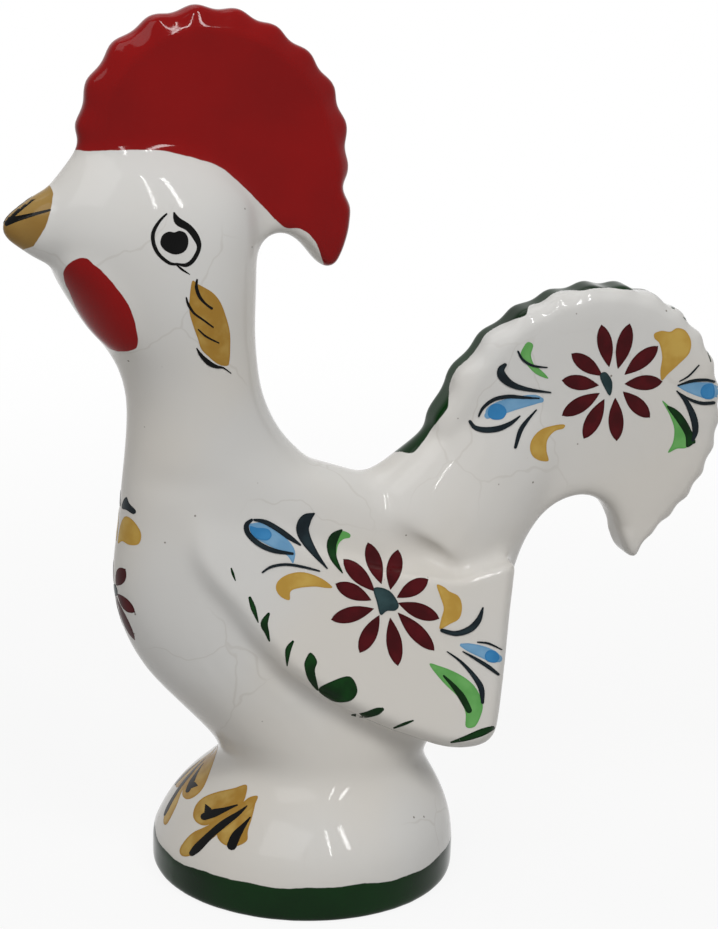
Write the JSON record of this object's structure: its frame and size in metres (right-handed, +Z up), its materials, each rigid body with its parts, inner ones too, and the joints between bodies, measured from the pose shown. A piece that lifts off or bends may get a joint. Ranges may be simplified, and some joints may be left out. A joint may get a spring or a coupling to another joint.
{
  "type": "ceramic rooster figurine",
  "caption": "Glazed ceramic folk rooster with a fluted comb and tail fan, standing on a round foot, hand-painted with folk flowers.",
  "frame": {"origin": "on the surface that the foot stands on, midway between the beak's tip and the tail's rim, in the figure's middle plane", "axes": "+Z up; -X towards the beak and +X towards the tail; -Y towards the figure's left side; the figure is symmetric about the XZ plane"},
  "size_m": [0.1538, 0.0632, 0.1802],
  "materials": {
    "white_glaze": "glossy",
    "red_glaze": "glossy",
    "green_glaze": "glossy",
    "ochre_enamel": "glossy",
    "bare_clay": "matte"
  },
  "bodies": {
    "root": {"foot_band": "green_glaze", "base_floor": "bare_clay", "pedestal": "white_glaze", "torso_shell": "white_glaze", "neck_and_head_shell": "white_glaze", "beak": "ochre_enamel", "comb": "red_glaze", "left_wattle": "red_glaze", "right_wattle": "red_glaze", "left_wing": "white_glaze", "right_wing": "white_glaze", "tail_fan": "white_glaze", "tail_rim": "green_glaze"}
  },
  "joints": []
}
